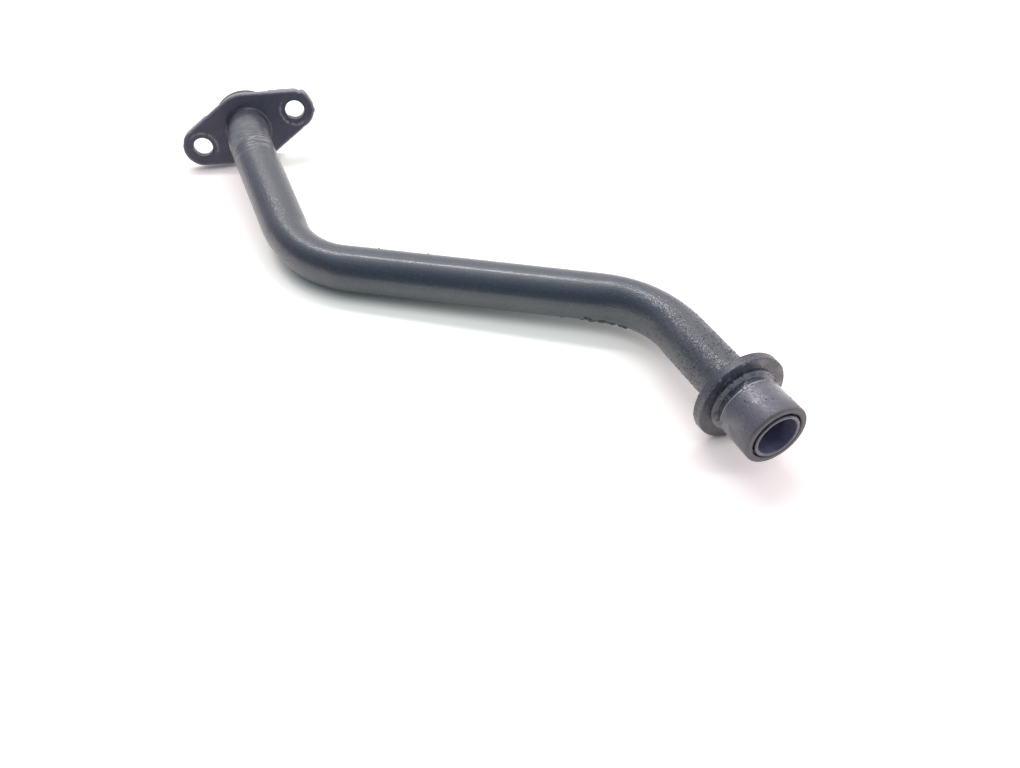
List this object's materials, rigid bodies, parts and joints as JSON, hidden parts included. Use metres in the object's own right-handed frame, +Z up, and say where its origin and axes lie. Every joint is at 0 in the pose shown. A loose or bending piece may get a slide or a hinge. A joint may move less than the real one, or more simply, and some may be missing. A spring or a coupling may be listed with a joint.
{
  "type": "turbo oil line",
  "caption": "Bent steel oil drain tube with a bolt flange and seal boss at one end and a collared push-in spigot at the other.",
  "frame": {"origin": "centre of the bounding box on the surface that the line lies on", "axes": "+X along the longest extent, from the flange to the spigot; +Z up from the surface; +Y towards the flange side"},
  "size_m": [0.2038, 0.1609, 0.0277],
  "materials": {
    "tube_paint": "satin",
    "flange_paint": "satin",
    "fitting_paint": "satin, oily",
    "seal_rubber": "matte",
    "braze_paint": "satin"
  },
  "bodies": {
    "root": {"oil_tube": "tube_paint", "drain_flange": "flange_paint", "flange_seal": "seal_rubber", "end_fitting": "fitting_paint", "flange_braze": "braze_paint", "fitting_braze": "braze_paint"}
  },
  "joints": []
}
